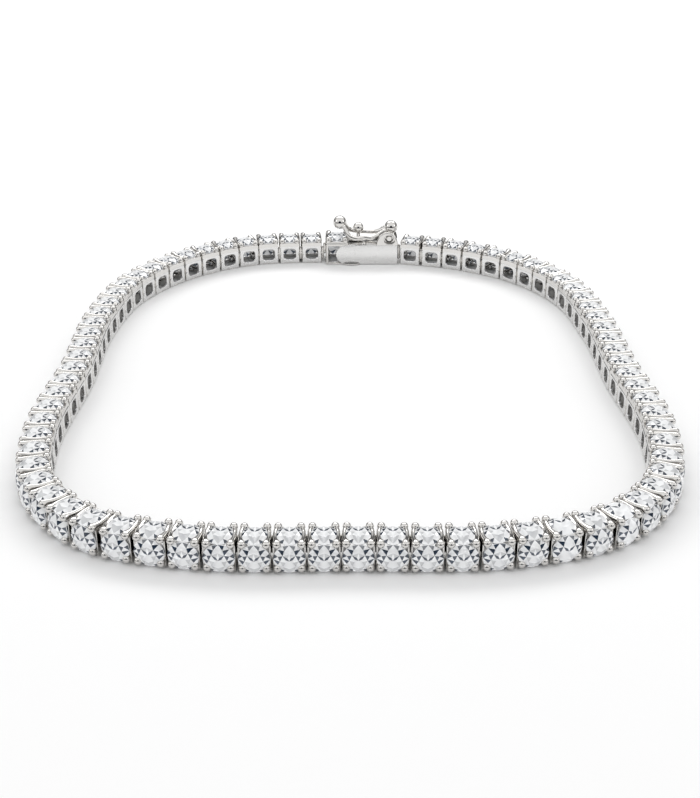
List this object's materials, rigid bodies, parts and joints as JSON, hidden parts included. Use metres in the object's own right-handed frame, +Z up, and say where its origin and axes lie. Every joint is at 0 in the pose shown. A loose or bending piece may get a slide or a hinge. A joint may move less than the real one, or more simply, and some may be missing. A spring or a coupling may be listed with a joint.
{
  "type": "tennis bracelet",
  "caption": "Closed bracelet of box links, each with one round stone facing up and one facing outward, with a box clasp and a hinged wire safety catch; lies on its edge.",
  "frame": {"origin": "on the table under the middle of the whole piece", "axes": "+Y from the middle towards the clasp and the longest extent, +X to the hinge end of the clasp, +Z up"},
  "size_m": [0.0514, 0.0598, 0.005],
  "materials": {
    "chain_metal": "polished white gold",
    "clasp_metal": "polished white gold, flat plate finely satined",
    "brilliant_stone": "colourless brilliant cut"
  },
  "bodies": {
    "bracelet": {"links_right": "chain_metal", "links_left": "chain_metal", "clasp_box": "clasp_metal", "clasp_tongue": "clasp_metal", "clasp_top_stone": "brilliant_stone", "clasp_outer_stone": "brilliant_stone", "catch_pin": "clasp_metal"},
    "catch": {"safety_catch": "clasp_metal"}
  },
  "joints": [
    {"name": "catch_hinge", "type": "hinge", "parent": "bracelet", "child": "catch", "pos_m": [0.00412, 0.02798, 0.00282], "axis": [0, 1, 0], "range_deg": [0, 55]}
  ]
}
